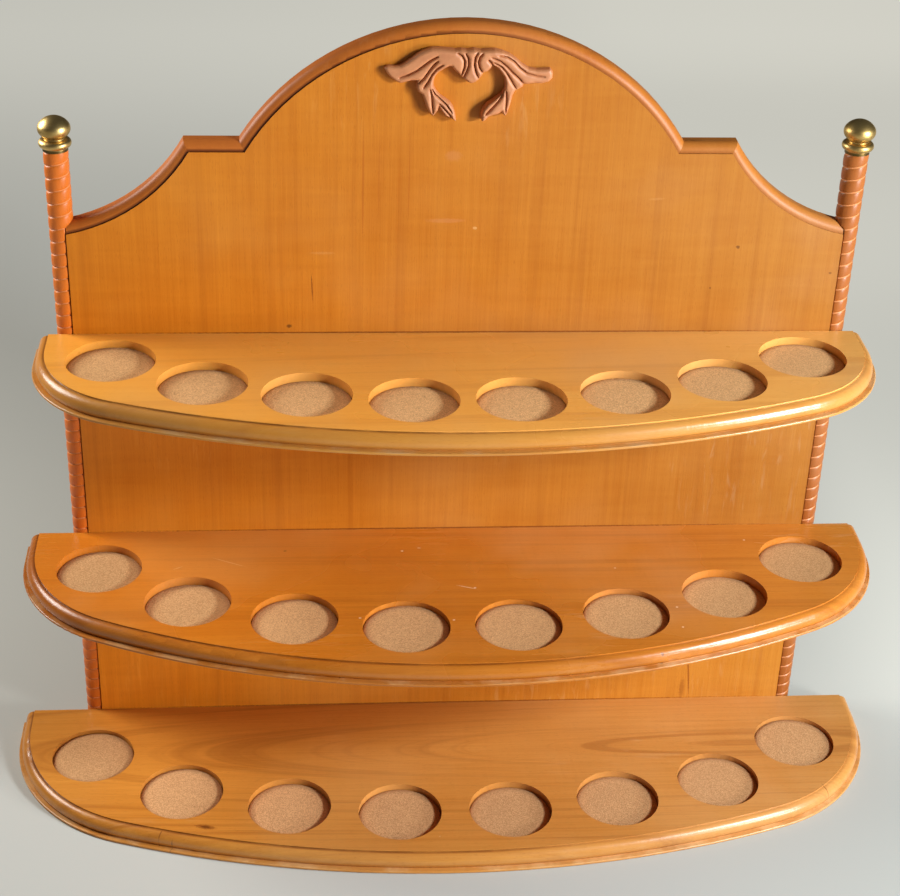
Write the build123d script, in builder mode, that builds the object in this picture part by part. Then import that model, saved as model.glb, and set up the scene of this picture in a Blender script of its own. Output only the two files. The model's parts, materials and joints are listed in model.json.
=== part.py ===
"""Three-tier spice jar rack with bow-fronted shelves, all sizes in millimetres.

The rack stands on the table at z = 0, its front looks along -Y and its middle is at x = 0.
The driving sizes come first, then the places worked out from them, then one section per piece.
"""
from build123d import *
from dataclasses import dataclass
from math import acos, asin, atan2, cos, degrees, radians, sin, sqrt
import os

# Shelves: sizes of the flat top faces, inside the moulded edge
board_half_width = 250.5
upper_overhang = 16.2
middle_overhang = 33.7
base_overhang = 48.7
upper_depth = 132.5
middle_depth = 158.0
base_depth = 160.5
shelf_thickness = 12.7
tier_rise = 153.2
straight_end = 22.0

# Corner radius of each shelf, as a share of its half width
upper_corner_share = 0.2774
middle_corner_share = 0.3220
base_corner_share = 0.3559

# Moulded edge of every shelf: quirk, bead, then a thin lip that stands further out
moulding_reach = 8.5
quirk_depth = 0.9
bead_radius = 5.9
bead_drop = 9.9
lip_round = 0.8

# Round seats for the jars, each with a cork pad on its floor
seat_diameter = 57.15
seat_depth = 7.7
seat_inset = 39.5
arc_seats_per_side = 3
cork_thickness = 3.2
cork_fit = 0.5

# Distance between neighbouring seats, as a share of the shelf's half width
upper_pitch_share = 0.2501
middle_pitch_share = 0.2569
base_pitch_share = 0.2547

# Backboard: the plain field, and the moulded crest that rises past it
board_thickness = 12.7
arch_radius = 160.0
arch_centre_height = 361.7
shoulder_height = 444.7
shoulder_end_x = 171.5
cove_foot_height = 389.2
cove_radius = 121.0
crest_rise = 6.35
crest_step = 1.0
crest_round = 6.0

# Posts: round rods scribed over the ends of the board
post_diameter = 15.875
post_height = 443.2
board_housing = 4.44
post_setback = 0.1

# Brass finials: skirt, rounded collar, neck and flattened ball, held by a stud
collar_bead_diameter = 20.5
collar_bead_height = 5.5
skirt_height = 2.0
neck_diameter = 13.0
neck_height = 0.8
ball_diameter = 20.5
ball_half_height = 7.9
ball_side_radius = 5.5
stud_diameter = 4.0
stud_in_post = 15.0
stud_past_ball_centre = 2.0
stud_fit = 0.05

# Countersunk wood screws from behind
screw_length = 30.0
screw_diameter = 3.5
screw_head_diameter = 7.0
screw_head_angle = 82.0
screw_fit = 0.05
screw_spacing = 150.0
post_screw_sink = 1.2

# Carved ornament under the arch, placed by the foot of its bud above the arch's centre
ornament_rise = 130.3
leaf_span = 51.9
leaf_top_rise = 20.7
leaf_thickness = 6.0
leaf_dome_radius = 115.0
leaf_crown_x = 24.0
leaf_crown_drop = 18.0
bud_height = 22.7
bud_thickness = 7.0
bud_dome_radius = 24.0


@dataclass(frozen=True)
class Tier:
    """One shelf: its level and the sizes that differ from tier to tier."""

    name: str
    top: float
    overhang: float
    depth: float
    corner_share: float
    pitch_share: float

    @property
    def half_width(self):
        return board_half_width + self.overhang

    @property
    def corner_radius(self):
        return self.half_width * self.corner_share

    @property
    def corner_x(self):
        return self.half_width - self.corner_radius

    @property
    def seat_pitch(self):
        return self.half_width * self.pitch_share

    @property
    def bow_radius(self):
        """Radius of the front bow, which runs tangent into both corner arcs."""
        drop = self.depth - straight_end
        return (self.corner_x**2 + drop**2 - self.corner_radius**2) / (2 * (drop - self.corner_radius))

    @property
    def bow_half_angle(self):
        """Half of the angle that the front bow turns through."""
        return degrees(atan2(self.corner_x, self.bow_radius - self.depth + straight_end))


base_top = shelf_thickness
middle_top = base_top + tier_rise
upper_top = middle_top + tier_rise
base = Tier("base", base_top, base_overhang, base_depth, base_corner_share, base_pitch_share)
middle = Tier("middle", middle_top, middle_overhang, middle_depth, middle_corner_share, middle_pitch_share)
upper = Tier("upper", upper_top, upper_overhang, upper_depth, upper_corner_share, upper_pitch_share)
tiers = [upper, middle, base]

post_radius = post_diameter / 2
post_offset = board_half_width + post_radius - board_housing
finial_radius = max(post_diameter, collar_bead_diameter, ball_diameter) / 2
front_reach = max(tier.depth for tier in tiers) + moulding_reach
back_reach = post_setback + post_radius + finial_radius

# Half the overall depth lies either side of y = 0
board_face = (front_reach - back_reach) / 2
board_back = board_face + board_thickness
post_axis = board_face + post_setback + post_radius
post_back = post_axis + post_radius

# Cutters run this far past the surfaces that they cut
overrun = 2.0


def edge_path(tier, level, growth=0.0, behind=0.0):
    """The edge of a shelf's top face, from its left back end round the bow to the right one."""
    side = tier.half_width + growth
    with BuildLine(Plane.XY.offset(level)) as path:
        left = Line((-side, board_face + behind), (-side, board_face - straight_end))
        corner = JernArc(left @ 1, left % 1, tier.corner_radius + growth, 90 - tier.bow_half_angle)
        bow = JernArc(corner @ 1, corner % 1, tier.bow_radius + growth, 2 * tier.bow_half_angle)
        last = JernArc(bow @ 1, bow % 1, tier.corner_radius + growth, 90 - tier.bow_half_angle)
        Line(last @ 1, (side, board_face + behind))
    return path


def seat_centres(tier):
    """Seat centres from left to right: an arc of equal chords, and one more on each corner."""
    row_radius = tier.bow_radius - seat_inset
    corner_row = tier.corner_radius - seat_inset
    bow_centre_y = board_face - tier.depth + tier.bow_radius
    corner_y = board_face - straight_end
    step = 2 * asin(tier.seat_pitch / 2 / row_radius)
    right = []
    for index in range(arc_seats_per_side):
        turn = step * (index + 0.5)
        right.append((row_radius * sin(turn), bow_centre_y - row_radius * cos(turn)))
    # The last seat is one pitch on, where a circle about its neighbour meets the corner row
    near_x, near_y = right[-1]
    dx = near_x - tier.corner_x
    dy = near_y - corner_y
    span = sqrt(dx**2 + dy**2)
    bearing = atan2(dy, dx)
    opening = acos((corner_row**2 + span**2 - tier.seat_pitch**2) / (2 * corner_row * span))
    turn = bearing + opening
    right.append((tier.corner_x + corner_row * cos(turn), corner_y + corner_row * sin(turn)))
    return [(-x, y) for x, y in reversed(right)] + right


def screw_spots(tier):
    """Screw heads of one shelf as (x, y of the head's face): three in the board, one in each post."""
    spots = [(x, board_back) for x in (-screw_spacing, 0.0, screw_spacing)]
    return spots + [(x, post_back - post_screw_sink) for x in (-post_offset, post_offset)]


def facing_back(x, y, z):
    """A plane on the back of the rack whose normal points away from it."""
    return Plane(origin=(x, y, z), x_dir=(-1, 0, 0), z_dir=(0, 1, 0))


def mid_level(tier):
    return tier.top - shelf_thickness / 2


os.makedirs("parts", exist_ok=True)

# Shelves: a bow-fronted plate, its moulded edge routed away along the front and both ends
groove_drop = quirk_depth + bead_drop
tuck_angle = degrees(asin((bead_drop - bead_radius) / bead_radius))
for tier in tiers:
    bottom = tier.top - shelf_thickness
    with BuildPart() as shelf:
        rim = edge_path(tier, bottom, moulding_reach)
        with BuildSketch(Plane.XY.offset(bottom)):
            with BuildLine():
                add(rim.line)
                Line(rim.line @ 1, rim.line @ 0)
            make_face()
        extrude(amount=shelf_thickness)
        lower_rim = shelf.edges().group_by(Axis.Z)[0].sort_by(Axis.Y)[:-1]
        fillet(lower_rim, lip_round)

        waste_path = edge_path(tier, tier.top, 0.0, overrun)
        start = waste_path.line @ 0
        with BuildSketch(Plane(origin=start, x_dir=(-1, 0, 0), z_dir=(0, 1, 0))):
            with BuildLine():
                wall = Line((0, overrun), (0, -quirk_depth))
                bead = CenterArc((0, -quirk_depth - bead_radius), bead_radius, 90, -90 - tuck_angle)
                ledge = Line(bead @ 1, (moulding_reach - lip_round, -groove_drop))
                nose = JernArc(ledge @ 1, (1, 0), lip_round, -90)
                Polyline(
                    nose @ 1,
                    (moulding_reach + overrun, -groove_drop - lip_round),
                    (moulding_reach + overrun, overrun),
                    wall @ 0,
                )
            make_face()
        sweep(path=waste_path.line, mode=Mode.SUBTRACT)

        with BuildSketch(Plane.XY.offset(tier.top)):
            with Locations(*seat_centres(tier)):
                Circle(seat_diameter / 2)
        extrude(amount=-seat_depth, mode=Mode.SUBTRACT)

        for x, head_y in screw_spots(tier):
            with Locations(facing_back(x, board_face, mid_level(tier))):
                Hole(screw_diameter / 2 + screw_fit, screw_length - (head_y - board_face) + screw_fit)
    shelf.part.label = f"{tier.name}_shelf"
    export_step(shelf.part, f"parts/{tier.name}_shelf.step")

# Cork pads: one disc on the floor of each seat
for tier in tiers:
    floor = tier.top - seat_depth
    for number, centre in enumerate(seat_centres(tier), start=1):
        with BuildPart() as pad:
            with BuildSketch(Plane(origin=(*centre, floor))):
                Circle(seat_diameter / 2 - cork_fit)
            extrude(amount=cork_thickness)
        pad.part.label = f"cork_pad_{tier.name}_{number}"
        export_step(pad.part, f"parts/cork_pad_{tier.name}_{number}.step")

# Centre of the hollow cove that runs from each shoulder down to the post
cove_start = Vector(shoulder_end_x, shoulder_height)
cove_chord = Vector(board_half_width, cove_foot_height) - cove_start
cove_reach = sqrt(cove_radius**2 - (cove_chord.length / 2) ** 2)
cove_centre = cove_start + cove_chord / 2 + Vector(-cove_chord.Y, cove_chord.X).normalized() * cove_reach


def board_outline(rise):
    """The board's outline with its crest raised past the field line by the given rise."""
    arch = arch_radius + rise
    shoulder = shoulder_height + rise
    cove = cove_radius - rise
    arch_angle = degrees(asin((shoulder - arch_centre_height) / arch))
    corner_angle = 180 + degrees(asin((cove_centre.Y - shoulder) / cove))
    foot_angle = 180 + degrees(acos((cove_centre.X - board_half_width) / cove))
    with BuildLine() as outline:
        crown = CenterArc((0, arch_centre_height), arch, 90, arch_angle - 90)
        hollow = CenterArc((cove_centre.X, cove_centre.Y), cove, corner_angle, foot_angle - corner_angle)
        Line(crown @ 1, hollow @ 0)
        Polyline(hollow @ 1, (board_half_width, 0), (0, 0))
        mirror(about=Plane.YZ)
    return outline


# Backboard: the field stands a step proud of the rounded crest behind it
with BuildPart() as backboard:
    crest_front = board_face + crest_step
    with BuildSketch(Plane.XZ.offset(-crest_front)):
        with BuildLine():
            add(board_outline(crest_rise).line)
        make_face()
    extrude(amount=crest_front - board_back)
    front_rim = backboard.faces().sort_by(Axis.Y)[0].edges()
    fillet([edge for edge in front_rim if edge.center().Z > cove_foot_height], crest_round)

    with BuildSketch(Plane.XZ.offset(-board_face)):
        with BuildLine():
            add(board_outline(0.0).line)
        make_face()
    extrude(amount=-board_thickness)

    for tier in tiers:
        for x, head_y in screw_spots(tier):
            if abs(x) < board_half_width:
                with Locations(facing_back(x, head_y, mid_level(tier))):
                    CounterSinkHole(
                        screw_diameter / 2 + screw_fit,
                        screw_head_diameter / 2 + screw_fit,
                        counter_sink_angle=screw_head_angle,
                    )
backboard.part.label = "backboard"
export_step(backboard.part, "parts/backboard.step")

# Posts: plain rods, scribed to the board's ends and drilled for the finial studs
for side_name, side in (("left", -1), ("right", 1)):
    with BuildPart() as post:
        with BuildSketch(Plane(origin=(side * post_offset, post_axis, 0))):
            Circle(post_diameter / 2)
        extrude(amount=post_height)
        add(backboard.part, mode=Mode.SUBTRACT)
        with Locations((side * post_offset, post_axis, post_height)):
            Hole(stud_diameter / 2 + stud_fit, stud_in_post)
        for tier in tiers:
            for x, head_y in screw_spots(tier):
                if x * side > board_half_width:
                    with Locations(facing_back(x, head_y, mid_level(tier))):
                        CounterSinkHole(
                            screw_diameter / 2 + screw_fit,
                            screw_head_diameter / 2 + screw_fit,
                            depth=post_diameter,
                            counter_sink_angle=screw_head_angle,
                        )
    post.part.label = f"{side_name}_post"
    export_step(post.part, f"parts/{side_name}_post.step")

# Finials: collar and ball turned about the post's axis, with a stud through both
neck_top = skirt_height + collar_bead_height + neck_height

# The ball is an oval of tangent arcs: a wide crown above and below, a tighter flank between them
flank_centre = ball_diameter / 2 - ball_side_radius
crown_radius = (flank_centre**2 + ball_half_height**2 - ball_side_radius**2) / (
    2 * (ball_half_height - ball_side_radius)
)
crown_offset = crown_radius - ball_half_height
crown_angle = atan2(flank_centre, crown_offset)
neck_angle = asin(neck_diameter / 2 / crown_radius)
ball_centre = neck_top + crown_radius * cos(neck_angle) - crown_offset
stud_top = ball_centre + stud_past_ball_centre
bore_radius = stud_diameter / 2 + stud_fit

for side_name, side in (("left", -1), ("right", 1)):
    seat = Plane(origin=(side * post_offset, post_axis, post_height), x_dir=(1, 0, 0), z_dir=(0, -1, 0))
    axis = Axis((side * post_offset, post_axis, 0), (0, 0, 1))

    with BuildPart() as collar:
        with BuildSketch(seat):
            with BuildLine():
                bead_start = collar_bead_diameter / 2 - collar_bead_height / 2
                skirt = Polyline(
                    (bore_radius, neck_top),
                    (bore_radius, 0),
                    (post_radius, 0),
                    (post_radius, skirt_height),
                    (bead_start, skirt_height),
                )
                bulge = JernArc(skirt @ 1, (1, 0), collar_bead_height / 2, 180)
                Polyline(
                    bulge @ 1,
                    (neck_diameter / 2, skirt_height + collar_bead_height),
                    (neck_diameter / 2, neck_top),
                    (bore_radius, neck_top),
                )
            make_face()
        revolve(axis=axis)
    collar.part.label = f"{side_name}_finial_collar"
    export_step(collar.part, f"parts/{side_name}_finial_collar.step")

    with BuildPart() as ball:
        with BuildSketch(seat):
            with BuildLine():
                under = CenterArc(
                    (0, ball_centre + crown_offset),
                    crown_radius,
                    degrees(neck_angle) - 90,
                    degrees(crown_angle - neck_angle),
                )
                side_turn = 180 - 2 * degrees(crown_angle)
                flank = JernArc(under @ 1, under % 1, ball_side_radius, side_turn)
                over = JernArc(flank @ 1, flank % 1, crown_radius, degrees(crown_angle))
                Polyline(
                    over @ 1,
                    (0, stud_top + stud_fit),
                    (bore_radius, stud_top + stud_fit),
                    (bore_radius, neck_top),
                    under @ 0,
                )
            make_face()
        revolve(axis=axis)
    ball.part.label = f"{side_name}_finial_ball"
    export_step(ball.part, f"parts/{side_name}_finial_ball.step")

    with BuildPart() as stud:
        with BuildSketch(Plane(origin=(side * post_offset, post_axis, post_height - stud_in_post))):
            Circle(stud_diameter / 2)
        extrude(amount=stud_in_post + stud_top)
    stud.part.label = f"{side_name}_finial_stud"
    export_step(stud.part, f"parts/{side_name}_finial_stud.step")

# Screws: one set of five for each shelf
head_height = (screw_head_diameter - screw_diameter) / 2 / sin(radians(screw_head_angle / 2))
head_height *= cos(radians(screw_head_angle / 2))
for tier in tiers:
    with BuildPart() as screws:
        for x, head_y in screw_spots(tier):
            into_wood = Plane(origin=(x, head_y, mid_level(tier)), x_dir=(1, 0, 0), z_dir=(0, -1, 0))
            with Locations(into_wood):
                Cylinder(
                    screw_diameter / 2, screw_length, align=(Align.CENTER, Align.CENTER, Align.MIN)
                )
                Cone(
                    screw_head_diameter / 2,
                    screw_diameter / 2,
                    head_height,
                    align=(Align.CENTER, Align.CENTER, Align.MIN),
                )
    screws.part.label = f"{tier.name}_shelf_screws"
    export_step(screws.part, f"parts/{tier.name}_shelf_screws.step")

# Carved ornament: two scrolled leaves and a bud between them, in low relief on the board
bud_foot = arch_centre_height + ornament_rise
leaf_top = bud_foot + leaf_top_rise


def dome_centre(height, x, z, radius):
    """Where to centre a sphere so that it crowns at the given height over the board."""
    return (x, board_face - height + radius, z)


def on_leaf(across, down):
    """A point of the right leaf's outline, in shares of its span out from the middle and down."""
    return (across * leaf_span, leaf_top - down * leaf_span)


def on_bud(across, up):
    """A point of the bud's outline, in shares of its height from its foot."""
    return (across * bud_height, bud_foot + up * bud_height)


with BuildPart() as bud:
    with BuildSketch(Plane.XZ.offset(-board_face)):
        with BuildLine():
            ThreePointArc(on_bud(0, 0), on_bud(0.3, 0.185), on_bud(0.476, 0.471))
            ThreePointArc(on_bud(0.476, 0.471), on_bud(0.48, 0.736), on_bud(0.33, 0.956))
            ThreePointArc(on_bud(0.33, 0.956), on_bud(0.167, 0.991), on_bud(0, 1))
            Line(on_bud(0, 1), on_bud(0, 0))
        make_face()
        mirror(about=Plane.YZ)
    extrude(amount=bud_thickness + overrun)
    with Locations(dome_centre(bud_thickness, 0, bud_foot + bud_height / 2, bud_dome_radius)):
        Sphere(bud_dome_radius, mode=Mode.INTERSECT)

with BuildPart() as ornament:
    with BuildSketch(Plane.XZ.offset(-board_face)):
        with BuildLine():
            brow = Line(on_leaf(0, 0), on_leaf(0.347, 0))
            Spline(brow @ 1, on_leaf(0.578, 0.064), on_leaf(0.79, 0.208), on_leaf(1, 0.233))
            ThreePointArc(on_leaf(1, 0.233), on_leaf(0.983, 0.331), on_leaf(0.809, 0.414))
            Line(on_leaf(0.809, 0.414), on_leaf(0.636, 0.401))
            ThreePointArc(on_leaf(0.636, 0.401), on_leaf(0.601, 0.489), on_leaf(0.526, 0.559))
            ThreePointArc(on_leaf(0.526, 0.559), on_leaf(0.507, 0.699), on_leaf(0.43, 0.829))
            ThreePointArc(on_leaf(0.43, 0.829), on_leaf(0.385, 0.751), on_leaf(0.38, 0.661))
            ThreePointArc(on_leaf(0.38, 0.661), on_leaf(0.289, 0.79), on_leaf(0.15, 0.886))
            ThreePointArc(on_leaf(0.15, 0.886), on_leaf(0.185, 0.694), on_leaf(0.337, 0.559))
            ThreePointArc(on_leaf(0.337, 0.559), on_leaf(0.395, 0.366), on_leaf(0.208, 0.193))
            Polyline(on_leaf(0.208, 0.193), on_leaf(0, 0.193), on_leaf(0, 0))
        make_face()
    extrude(amount=leaf_thickness + overrun)
    crown = dome_centre(leaf_thickness, leaf_crown_x, leaf_top - leaf_crown_drop, leaf_dome_radius)
    with Locations(crown):
        Sphere(leaf_dome_radius, mode=Mode.INTERSECT)
    mirror(about=Plane.YZ)
    add(bud.part)
ornament.part.label = "carved_applique"
export_step(ornament.part, "parts/carved_applique.step")
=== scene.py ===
"""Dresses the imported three-tier spice jar rack: finishes, carved ornament, turned posts, cork and screws.

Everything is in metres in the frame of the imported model: +Z up, the rack's front looks along -Y.
"""

import json
import logging
import math
import random
from collections.abc import Iterator
from contextlib import contextmanager
from dataclasses import dataclass
from enum import Enum
from functools import reduce

import bmesh
import bpy
import numpy as np
from mathutils import Matrix, Vector, noise

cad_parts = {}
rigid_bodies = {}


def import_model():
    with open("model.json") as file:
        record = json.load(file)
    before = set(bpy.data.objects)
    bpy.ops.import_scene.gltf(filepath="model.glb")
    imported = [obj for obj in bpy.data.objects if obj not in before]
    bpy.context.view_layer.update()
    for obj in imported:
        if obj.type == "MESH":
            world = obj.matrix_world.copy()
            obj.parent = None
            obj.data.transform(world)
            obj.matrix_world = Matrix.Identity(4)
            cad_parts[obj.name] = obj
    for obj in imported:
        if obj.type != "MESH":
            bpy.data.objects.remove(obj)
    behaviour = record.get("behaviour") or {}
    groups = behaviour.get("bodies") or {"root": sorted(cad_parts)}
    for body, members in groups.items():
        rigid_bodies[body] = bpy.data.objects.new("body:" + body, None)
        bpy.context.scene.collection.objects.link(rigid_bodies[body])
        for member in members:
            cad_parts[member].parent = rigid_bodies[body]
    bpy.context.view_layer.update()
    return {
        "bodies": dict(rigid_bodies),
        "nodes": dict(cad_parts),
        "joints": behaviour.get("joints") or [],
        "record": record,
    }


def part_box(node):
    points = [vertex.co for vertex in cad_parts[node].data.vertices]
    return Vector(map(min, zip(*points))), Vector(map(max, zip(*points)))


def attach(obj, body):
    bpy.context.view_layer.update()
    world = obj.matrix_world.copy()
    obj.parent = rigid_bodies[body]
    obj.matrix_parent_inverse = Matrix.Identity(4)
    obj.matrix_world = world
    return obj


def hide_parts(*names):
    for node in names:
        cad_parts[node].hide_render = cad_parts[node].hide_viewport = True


LOG = logging.getLogger("spice_rack")
MM = 0.001
BODY = "root"
# Points of a mesh closer than this are welded
WELD = 0.000001
# Attributes of the cork discs
RIM = "rim_share"
TONE_AND_SHADE = "cork_tone_and_shade"
# A Mix node has sockets of the same names for each kind of data, so those for colours go by number
MIX_COLOURS = (6, 7)
MIX_RESULT = 2

Socket = bpy.types.NodeSocket
Piece = bpy.types.Object
Pair = tuple[float, float]
Three = tuple[float, float, float]
Display = tuple[int, int, int]


class Grain(Enum):
    """The way that the grain of a wooden piece runs."""

    ACROSS = "across"
    UPRIGHT = "upright"


# Node wiring


class Wiring:
    """Adds and joins nodes in one shader tree."""

    def __init__(self, tree: bpy.types.NodeTree) -> None:
        """Wraps the tree of a material or a node group."""
        self.tree = tree
        self.column = 0

    def feed(self, socket: Socket, value: object) -> None:
        """Links an output into a socket, or sets the socket to a plain value.

        Args:
            socket: The input.
            value: An output or a plain value, or None to leave the socket alone.
        """
        if isinstance(value, Socket):
            self.tree.links.new(value, socket)
        elif value is not None:
            socket.default_value = value

    def made(self, kind: str, inputs: dict, output: str | int = 0, **values: object) -> Socket:
        """Adds a node, sets its properties and feeds its inputs.

        Args:
            kind: The node's type name after "ShaderNode".
            inputs: Name or number of an input to what it is fed.
            output: Name or number of the output that is wanted.
            **values: Properties of the node.

        Returns:
            The output.
        """
        node = self.tree.nodes.new("ShaderNode" + kind)
        node.location = (self.column * 180, 0)
        self.column += 1
        for name, value in values.items():
            setattr(node, name, value)
        for name, value in inputs.items():
            self.feed(node.inputs[name], value)
        return node.outputs[output]

    def object_coordinates(self) -> Socket:
        """The place of the shaded point in the piece's own frame."""
        return self.made("TexCoord", {}, "Object")

    def mapped(self, vector: Socket, scale: Three) -> Socket:
        """Coordinates times a factor along each axis."""
        return self.made("Mapping", {"Vector": vector, "Scale": scale})

    def noise(
        self, vector: Socket, scale: float, detail: float = 3.0, roughness: float = 0.5, distortion: float = 0.0
    ) -> Socket:
        """Smooth noise from 0 to 1 over the coordinates."""
        names = ("Vector", "Scale", "Detail", "Roughness", "Distortion")
        return self.made("TexNoise", dict(zip(names, (vector, scale, detail, roughness, distortion))))

    def cells(self, vector: Socket, scale: float, output: str = "Distance") -> Socket:
        """One output of a pattern of cells with the given number of cells per unit."""
        return self.made("TexVoronoi", {"Vector": vector, "Scale": scale}, output)

    def maths(self, operation: str, *numbers: object) -> Socket:
        """The result of a maths operation on numbers or outputs."""
        return self.made("Math", dict(enumerate(numbers)), operation=operation)

    def times(self, *factors: object) -> Socket:
        """The product of two or more numbers or outputs."""
        return reduce(lambda product, factor: self.maths("MULTIPLY", product, factor), factors)

    def remapped(self, value: Socket, low: float, high: float, to_low: float = 0.0, to_high: float = 1.0) -> Socket:
        """A value carried smoothly from one range into another and held at its ends."""
        ends = dict(zip(("From Min", "From Max", "To Min", "To Max"), (low, high, to_low, to_high)))
        return self.made("MapRange", {"Value": value, **ends}, interpolation_type="SMOOTHSTEP")

    def blended(self, factor: object, first: object, second: object, blend: str = "MIX") -> Socket:
        """Two colours mixed by a factor.

        Args:
            factor: Share of the second colour.
            first: First colour, as an output or three numbers.
            second: Second colour, as an output or three numbers.
            blend: Blender's name of the way to mix.

        Returns:
            The mixed colour.
        """
        colours = [(*value, 1.0) if isinstance(value, tuple) else value for value in (first, second)]
        inputs = {"Factor": factor, **dict(zip(MIX_COLOURS, colours))}
        return self.made("Mix", inputs, MIX_RESULT, data_type="RGBA", blend_type=blend)

    def over(self, colour: Socket, share: object, cover: Display) -> Socket:
        """A colour covered to a share by another one."""
        return self.blended(share, colour, linear(*cover))

    def band(self, value: Socket, middle: float, half: float) -> Socket:
        """1 where a value is near a middle, fading to 0 at a half width from it."""
        away = self.maths("ABSOLUTE", self.maths("SUBTRACT", value, middle))
        return self.remapped(away, half * 0.25, half, 1.0, 0.0)

    def near(self, vector: Socket, middle: Pair, size: Pair, turn: float = 0.0) -> Socket:
        """How far coordinates lie from a place, in half sizes of a turned ellipse round it.

        Args:
            vector: Coordinates, whose third part is 0 where nothing else is wanted.
            middle: The ellipse's middle.
            size: Its two half sizes.
            turn: Its turn, in degrees.

        Returns:
            0 in the middle, 1 on the ellipse.
        """
        ellipse = {"Location": (*middle, 0.0), "Rotation": (0.0, 0.0, math.radians(turn)), "Scale": (*size, 1.0)}
        place = self.made("Mapping", {"Vector": vector, **ellipse}, vector_type="TEXTURE")
        return self.made("VectorMath", {0: place}, "Value", operation="LENGTH")

    def split(self, vector: Socket) -> tuple[Socket, ...]:
        """The three parts of a vector."""
        return tuple(self.made("SeparateXYZ", {0: vector}).node.outputs)

    def joined(self, *parts: object) -> Socket:
        """A vector from three parts."""
        return self.made("CombineXYZ", dict(enumerate(parts)))

    def bumped(self, height: Socket, distance: float, normal: Socket | None = None) -> Socket:
        """A normal bent by a height that is given as a share of a distance in metres."""
        return self.made("Bump", {"Distance": distance, "Height": height, "Normal": normal})

    def group(self, tree: bpy.types.NodeTree, **values: object) -> bpy.types.NodeOutputs:
        """The outputs of a node group that is fed values, named with spaces as underscores."""
        inputs = {name.replace("_", " "): value for name, value in values.items()}
        return self.made("Group", inputs, node_tree=tree).node.outputs

    def put_out(self, values: dict[str, Socket]) -> bpy.types.NodeTree:
        """Ends a node group.

        Args:
            values: Name of each output to its number.

        Returns:
            The group.
        """
        for name in values:
            self.tree.interface.new_socket(name, in_out="OUTPUT", socket_type="NodeSocketFloat")
        end = self.tree.nodes.new("NodeGroupOutput")
        for name, value in values.items():
            self.feed(end.inputs[name], value)
        return self.tree


def linear(*display: int) -> tuple[float, ...]:
    """The linear parts of a display colour whose parts go from 0 to 255."""
    shares = [part / 255 for part in display]
    return tuple(part / 12.92 if part <= 0.04045 else ((part + 0.055) / 1.055) ** 2.4 for part in shares)


def new_group(name: str, vectors: tuple[str, ...], numbers: tuple[str, ...]) -> tuple[Wiring, bpy.types.NodeOutputs]:
    """Starts a shader node group.

    Args:
        name: The group's name.
        vectors: Names of its inputs for vectors.
        numbers: Names of its inputs for numbers.

    Returns:
        Its wiring and what it is given.
    """
    tree = bpy.data.node_groups.new(name, "ShaderNodeTree")
    for kind, sockets in (("Vector", vectors), ("Float", numbers)):
        for socket in sockets:
            tree.interface.new_socket(socket, in_out="INPUT", socket_type="NodeSocket" + kind)
    return Wiring(tree), tree.nodes.new("NodeGroupInput").outputs


# Shared effects


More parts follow.
